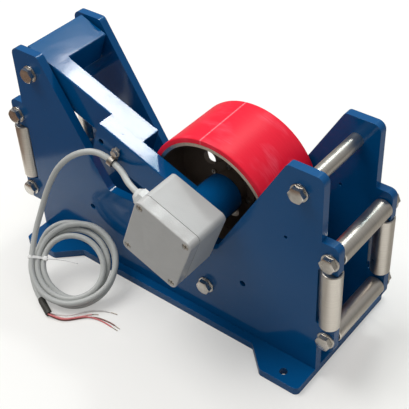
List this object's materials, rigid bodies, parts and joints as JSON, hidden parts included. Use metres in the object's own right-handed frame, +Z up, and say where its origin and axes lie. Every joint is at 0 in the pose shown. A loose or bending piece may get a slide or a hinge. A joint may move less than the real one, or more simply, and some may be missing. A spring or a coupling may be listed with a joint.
{
  "type": "cable length counter",
  "caption": "Cable length counter: a hinged arm rests a tyred measuring wheel and encoder box between two notched side plates, with a four-roller fairlead at each end.",
  "frame": {"origin": "middle of the base plate's underside, which is the centre of its four fixing holes", "axes": "+X along the cable being measured, away from the arm's pivot; -Y is the side with the encoder box; +Z up"},
  "size_m": [0.456, 0.2579, 0.27],
  "materials": {
    "blue_paint": "gloss",
    "stainless": "satin",
    "zinc_steel": "satin",
    "bright_steel": "machined",
    "dark_steel": "matt",
    "red_polyurethane": "satin",
    "box_grey": "satin",
    "black_rubber": "matt",
    "black_plastic": "matt",
    "light_grey_plastic": "matt",
    "bronze": "machined",
    "cable_jacket": "satin",
    "heat_shrink": "matt",
    "tie_white": "gloss",
    "wire_insulation": "gloss",
    "terminal_green": "matt"
  },
  "bodies": {
    "frame": {"base_plate": "blue_paint", "front_plate": "blue_paint", "back_plate": "blue_paint", "base_screws": "zinc_steel", "axle_bolts": "zinc_steel", "axle_washers": "zinc_steel", "axle_nuts": "zinc_steel", "guide_tube": "stainless", "side_pins": "bright_steel", "cable_coil": "cable_jacket", "cable_tie": "tie_white", "cable_sleeve": "heat_shrink", "cable_conductors": "wire_insulation"},
    "arm": {"arm_crosspiece": "blue_paint", "arm_cross_ends": "blue_paint", "pivot_bushes": "bronze", "arm_inner_bar": "blue_paint", "arm_outer_bar": "blue_paint", "arm_end_caps": "blue_paint", "bearing_housing": "blue_paint", "bearing_outer_rings": "bright_steel", "box_body": "box_grey", "box_gasket": "black_rubber", "box_lid": "box_grey", "lid_screws": "zinc_steel", "small_screws": "bright_steel", "encoder_bracket": "bright_steel", "encoder_body": "black_plastic", "terminal_block": "terminal_green", "cable_gland": "light_grey_plastic", "gland_nut": "light_grey_plastic", "clip_liner": "black_rubber", "clip_band": "stainless", "clip_screw": "zinc_steel", "cable_lead": "cable_jacket"},
    "wheel": {"wheel_rim": "dark_steel", "wheel_tread": "red_polyurethane", "wheel_shaft": "bright_steel", "wheel_key": "bright_steel", "wheel_washer": "bright_steel", "wheel_screw": "zinc_steel", "bearing_inner_rings": "bright_steel", "bearing_spacer": "bright_steel", "shaft_coupling": "bright_steel", "encoder_shaft": "bright_steel"},
    "left_bottom_roller": {"roller_left_bottom": "stainless", "bushes_left_bottom": "black_plastic"},
    "left_top_roller": {"roller_left_top": "stainless", "bushes_left_top": "black_plastic"},
    "left_front_roller": {"roller_left_front": "stainless"},
    "left_back_roller": {"roller_left_back": "stainless"},
    "right_bottom_roller": {"roller_right_bottom": "stainless", "bushes_right_bottom": "black_plastic"},
    "right_top_roller": {"roller_right_top": "stainless", "bushes_right_top": "black_plastic"},
    "right_front_roller": {"roller_right_front": "stainless"},
    "right_back_roller": {"roller_right_back": "stainless"},
    "support_roller": {"support_roller": "stainless", "support_bushes": "black_plastic"}
  },
  "joints": [
    {"name": "arm_lift", "type": "hinge", "parent": "frame", "child": "arm", "pos_m": [-0.18, 0, 0.244], "axis": [0, -1, 0], "range_deg": [0, 45], "deforming": ["cable_lead"]},
    {"name": "wheel_spin", "type": "hinge", "parent": "arm", "child": "wheel", "pos_m": [0.05999, 0, 0.16148], "axis": [0, -1, 0], "continuous": true},
    {"name": "left_bottom_spin", "type": "hinge", "parent": "frame", "child": "left_bottom_roller", "pos_m": [-0.217, 0, 0.065], "axis": [0, 1, 0], "continuous": true},
    {"name": "left_top_spin", "type": "hinge", "parent": "frame", "child": "left_top_roller", "pos_m": [-0.217, 0, 0.175], "axis": [0, 1, 0], "continuous": true},
    {"name": "left_front_spin", "type": "hinge", "parent": "frame", "child": "left_front_roller", "pos_m": [-0.217, -0.05, 0.12125], "axis": [0, 0, 1], "continuous": true},
    {"name": "left_back_spin", "type": "hinge", "parent": "frame", "child": "left_back_roller", "pos_m": [-0.217, 0.05, 0.12125], "axis": [0, 0, 1], "continuous": true},
    {"name": "right_bottom_spin", "type": "hinge", "parent": "frame", "child": "right_bottom_roller", "pos_m": [0.217, 0, 0.065], "axis": [0, 1, 0], "continuous": true},
    {"name": "right_top_spin", "type": "hinge", "parent": "frame", "child": "right_top_roller", "pos_m": [0.217, 0, 0.175], "axis": [0, 1, 0], "continuous": true},
    {"name": "right_front_spin", "type": "hinge", "parent": "frame", "child": "right_front_roller", "pos_m": [0.217, -0.05, 0.12125], "axis": [0, 0, 1], "continuous": true},
    {"name": "right_back_spin", "type": "hinge", "parent": "frame", "child": "right_back_roller", "pos_m": [0.217, 0.05, 0.12125], "axis": [0, 0, 1], "continuous": true},
    {"name": "support_spin", "type": "hinge", "parent": "frame", "child": "support_roller", "pos_m": [0.05999, 0, 0.0536], "axis": [0, 1, 0], "continuous": true}
  ]
}
